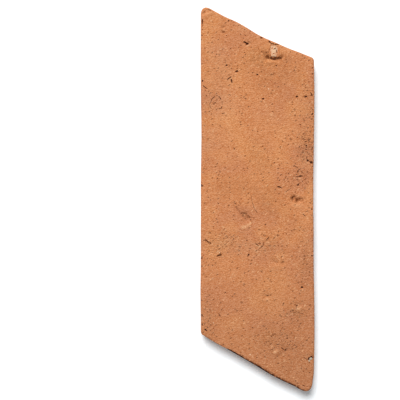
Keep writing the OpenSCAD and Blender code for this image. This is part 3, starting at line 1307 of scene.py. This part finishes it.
def use_group(tree, group, inputs):
    node = tree.nodes.new("ShaderNodeGroup")
    node.node_tree = group
    for key, value in inputs.items():
        if isinstance(value, bpy.types.NodeSocket):
            tree.links.new(value, node.inputs[key])
        else:
            node.inputs[key].default_value = value
    return node.outputs[0]


def clay_material(colours):
    """Fired clay, with lime, stone and pits painted dark with shade where the mesh says so, and
    broad stains, painted shade and painted highlights where its tone attribute says so.
    """
    material = bpy.data.materials.new("terracotta")
    material.use_nodes = True
    tree = material.node_tree
    shader = tree.nodes["Principled BSDF"]
    place = tree.nodes.new("ShaderNodeTexCoord").outputs["Object"]
    body = use_group(
        tree,
        banded_clay(),
        {
            "Vector": place,
            "Clay": (*colours.clay, 1),
            "Rosy": (*colours.rosy, 1),
            "Pale": (*colours.pale, 1),
            "Toe": (*colours.toe, 1),
        },
    )
    # Broad stains of the clay's tone, painted shade in hollows and along the lower arris, and painted
    # highlights on the lips and ridges that face the lamp.
    soil = add(tree, "ShaderNodeAttribute", attribute_name="soil").outputs["Fac"]
    loosened = broken_up()
    soil = use_group(tree, loosened, {"Vector": place, "Value": soil})
    darker = add(tree, "ShaderNodeClamp", {0: soil}).outputs[0]
    paler = add(tree, "ShaderNodeClamp", {0: math_node(tree, "MULTIPLY", soil, -0.9)}).outputs[0]
    body = mix(tree, darker, body, (*colours.dark_and_shaded, 1), "MULTIPLY")
    body = mix(tree, paler, body, (*colours.pale_and_lit, 1))
    pitted = add(tree, "ShaderNodeAttribute", attribute_name="pitted").outputs["Fac"]
    share = math_node(tree, "MULTIPLY", pitted, 0.6)
    speckle = fine_pores()
    # Pale flecks in the pitted parts, in the colour of the painted highlights.
    flecks = use_group(tree, speckle, {"Vector": place, "Scale": 560, "Share": share})
    body = mix(tree, math_node(tree, "MULTIPLY", flecks, 0.6), body, (*colours.pale_and_lit, 1))
    pores = use_group(tree, speckle, {"Vector": place, "Scale": 700, "Share": share})
    # Painted shade in the pores too small to model.
    dim = math_node(tree, "MULTIPLY", pores, 0.44)
    colour = mix(tree, dim, body, (*colours.pit, 1), "MULTIPLY")
    # Painted shade inside the cut pits, scratches, pores, slivers, cracks, gap and socket.
    mask = add(tree, "ShaderNodeAttribute", attribute_name="pit").outputs["Fac"]
    colour = mix(tree, mask, colour, (*colours.pit, 1), "MULTIPLY")
    for name, tint in (("lime", colours.lime), ("stone", colours.stone)):
        mask = add(tree, "ShaderNodeAttribute", attribute_name=name).outputs["Fac"]
        mask = use_group(tree, loosened, {"Vector": place, "Value": mask})
        colour = mix(tree, ramp(tree, mask, 0.1, 0.9), colour, (*tint, 1))
    grain = use_group(tree, clay_grain(), {"Vector": place, "Pores": pores, "Pitted": pitted})
    bump = add(tree, "ShaderNodeBump", {"Height": grain, "Strength": 1.0, "Distance": 0.4 * MM})
    tree.links.new(colour, shader.inputs["Base Color"])
    tree.links.new(bump.outputs[0], shader.inputs["Normal"])
    shader.inputs["Roughness"].default_value = 0.9
    shader.inputs["Specular IOR Level"].default_value = 0.25
    return material


# How dark the faces are that a material was cut or set in with: the pit and dim shares are
# painted shade inside pits, scratches, pores, slivers, cracks, gap and socket; lime and stone
# mark their own colours.
MASKS = {"pit": {"pit": 0.95, "dim": 0.6}, "lime": {"lime": 1}, "stone": {"stone": 1}}


def mark_faces(slab):
    """Writes down, as attributes, what each face was cut or set in with."""
    slots = [slot.name for slot in slab.data.materials]
    for name, shares in MASKS.items():
        layer = slab.data.attributes.new(name, "FLOAT", "FACE")
        for face in slab.data.polygons:
            layer.data[face.index].value = shares.get(slots[face.material_index], 0)


def paint_tones(slab):
    """Writes down, as an attribute, the painted tone of each point of the face: broad stains in
    the clay's tone, painted shade and painted highlights.
    """
    tree = kdtree.KDTree(len(slab.data.vertices))
    for vertex in slab.data.vertices:
        tree.insert((vertex.co.x, vertex.co.y, 0), vertex.index)
    tree.balance()
    shares = [0.0] * len(slab.data.vertices)
    for painted_tone in PAINTED_TONES:
        reach = painted_tone.reach * MM
        best = {}
        for place in along_path(painted_tone.path, 0.5 * MM):
            for _, index, distance in tree.find_range((place.x, place.y, 0), reach):
                near = 1 - distance / reach
                best[index] = max(best.get(index, 0), near * near * (3 - 2 * near))
        for index, near in best.items():
            if slab.data.vertices[index].co.z > 0.8 * HIGH.z:
                shares[index] = max(-1, min(1, shares[index] + near * painted_tone.share))
    layer = slab.data.attributes.new("soil", "FLOAT", "POINT")
    for index, share in enumerate(shares):
        layer.data[index].value = share
    layer = slab.data.attributes.new("pitted", "FLOAT", "POINT")
    for vertex in slab.data.vertices:
        layer.data[vertex.index].value = pitted_share(vertex.co.x, vertex.co.y)


# The tile and its stage


class OBJECT_OT_chevron_tile(bpy.types.Operator):
    """Makes the tile: cuts the slab, presses it uneven, marks it and fires it"""

    bl_idname = "object.chevron_tile"
    bl_label = "Chevron tile"
    bl_options = {"REGISTER", "UNDO"}

    def execute(self, context):
        scene = context.scene
        sizes, wear = scene.slab_sizes, scene.wear_sizes
        slab = cut_slab(sizes)
        press_slab(slab, wear)
        thin_bed(slab)
        clay, pit, dim, lime, stone = (
            bpy.data.materials.new(name) for name in ("clay", "pit", "dim", "lime", "stone")
        )
        slab.data.materials.append(clay)
        set_pebble(slab, clay, pit, dim, lime)
        set_grains(slab, pit, lime, stone, wear)
        cut_pits(slab, clay, pit)
        cut_scratches(slab, pit)
        cut_pores(slab, clay, dim, wear)
        wear_arris(slab, outline_corners(sizes), pit, clay, wear)
        mark_faces(slab)
        paint_tones(slab)
        slab.data.materials.clear()
        slab.data.materials.append(clay_material(scene.clay_colours))
        only(slab)
        bpy.ops.object.shade_smooth_by_angle(angle=math.radians(38))
        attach(slab, "root")
        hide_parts("tile")
        return {"FINISHED"}


class OBJECT_OT_tile_stage(bpy.types.Operator):
    """Lays the pale ground and sets up the lamps and the camera"""

    bl_idname = "object.tile_stage"
    bl_label = "Stage"
    bl_options = {"REGISTER", "UNDO"}

    def execute(self, context):
        sizes = context.scene.stage_sizes
        bpy.ops.mesh.primitive_plane_add(size=8)
        ground = context.object
        ground.name = ground.data.name = "ground"
        paper = bpy.data.materials.new("paper")
        paper.use_nodes = True
        tree = paper.node_tree
        shader = tree.nodes["Principled BSDF"]
        shader.inputs["Base Color"].default_value = (0.90, 0.935, 0.96, 1)
        shader.inputs["Roughness"].default_value = 1
        shader.inputs["Specular IOR Level"].default_value = 0
        seen = tree.nodes.new("ShaderNodeLightPath").outputs["Is Camera Ray"]
        glow = add(tree, "ShaderNodeEmission", {"Color": (1, 1, 1, 1), "Strength": sizes.glow})
        lit = add(tree, "ShaderNodeMixShader", {0: seen, 2: glow.outputs[0]})
        both = add(tree, "ShaderNodeAddShader", {0: shader.outputs[0], 1: lit.outputs[0]})
        tree.links.new(both.outputs[0], tree.nodes["Material Output"].inputs["Surface"])
        ground.data.materials.append(paper)

        bpy.ops.object.light_add(type="SUN")
        key = context.object
        key.name = key.data.name = "key"
        key.data.energy = sizes.key
        key.data.angle = sizes.key_width
        key.rotation_euler = (-(math.pi / 2 - sizes.key_height), 0, sizes.key_side)

        middle = at_pixel(PHOTO_MIDDLE, PHOTO_MIDDLE)
        reach = PHOTO_SIDE * PIXEL * sizes.lens / sizes.sensor
        bpy.ops.object.camera_add(location=(middle.x, middle.y, HIGH.z + reach), rotation=(0, 0, 0))
        camera = context.object
        camera.name = camera.data.name = "camera"
        camera.data.lens = sizes.lens
        camera.data.sensor_width = sizes.sensor
        context.scene.camera = camera

        world = bpy.data.worlds.new("studio")
        world.use_nodes = True
        context.scene.world = world
        tree = world.node_tree
        tree.nodes.clear()
        sky = {"Color": (0.9, 0.97, 1, 1), "Strength": sizes.fill}
        even = add(tree, "ShaderNodeBackground", sky)
        seen = add(tree, "ShaderNodeBackground", {"Color": (1, 1, 1, 1), "Strength": 1.0})
        camera_ray = tree.nodes.new("ShaderNodeLightPath").outputs["Is Camera Ray"]
        both = add(
            tree,
            "ShaderNodeMixShader",
            {0: camera_ray, 1: even.outputs[0], 2: seen.outputs[0]},
        )
        add(tree, "ShaderNodeOutputWorld", {"Surface": both.outputs[0]})
        context.scene.view_settings.view_transform = "Standard"
        return {"FINISHED"}


class VIEW3D_PT_chevron_tile(bpy.types.Panel):
    """Lists the steps that make the tile and its stage"""

    bl_idname = "VIEW3D_PT_chevron_tile"
    bl_label = "Chevron tile"
    bl_space_type = "VIEW_3D"
    bl_region_type = "UI"
    bl_category = "Tile"

    def draw(self, context):
        scene = context.scene
        for settings in (scene.slab_sizes, scene.wear_sizes, scene.clay_colours):
            for name in settings.__annotations__:
                self.layout.prop(settings, name)
        self.layout.operator("object.chevron_tile")
        for name in scene.stage_sizes.__annotations__:
            self.layout.prop(scene.stage_sizes, name)
        self.layout.operator("object.tile_stage")


SETTINGS = {
    "slab_sizes": SlabSizes,
    "wear_sizes": WearSizes,
    "clay_colours": ClayColours,
    "stage_sizes": StageSizes,
}
CLASSES = (
    *SETTINGS.values(),
    OBJECT_OT_chevron_tile,
    OBJECT_OT_tile_stage,
    VIEW3D_PT_chevron_tile,
)


def register():
    for cls in CLASSES:
        bpy.utils.register_class(cls)
    for name, cls in SETTINGS.items():
        setattr(bpy.types.Scene, name, PointerProperty(type=cls))


def unregister():
    for name in SETTINGS:
        delattr(bpy.types.Scene, name)
    for cls in reversed(CLASSES):
        bpy.utils.unregister_class(cls)


def main():
    register()
    bpy.ops.object.chevron_tile()
    bpy.ops.object.tile_stage()


if __name__ == "__main__":
    main()
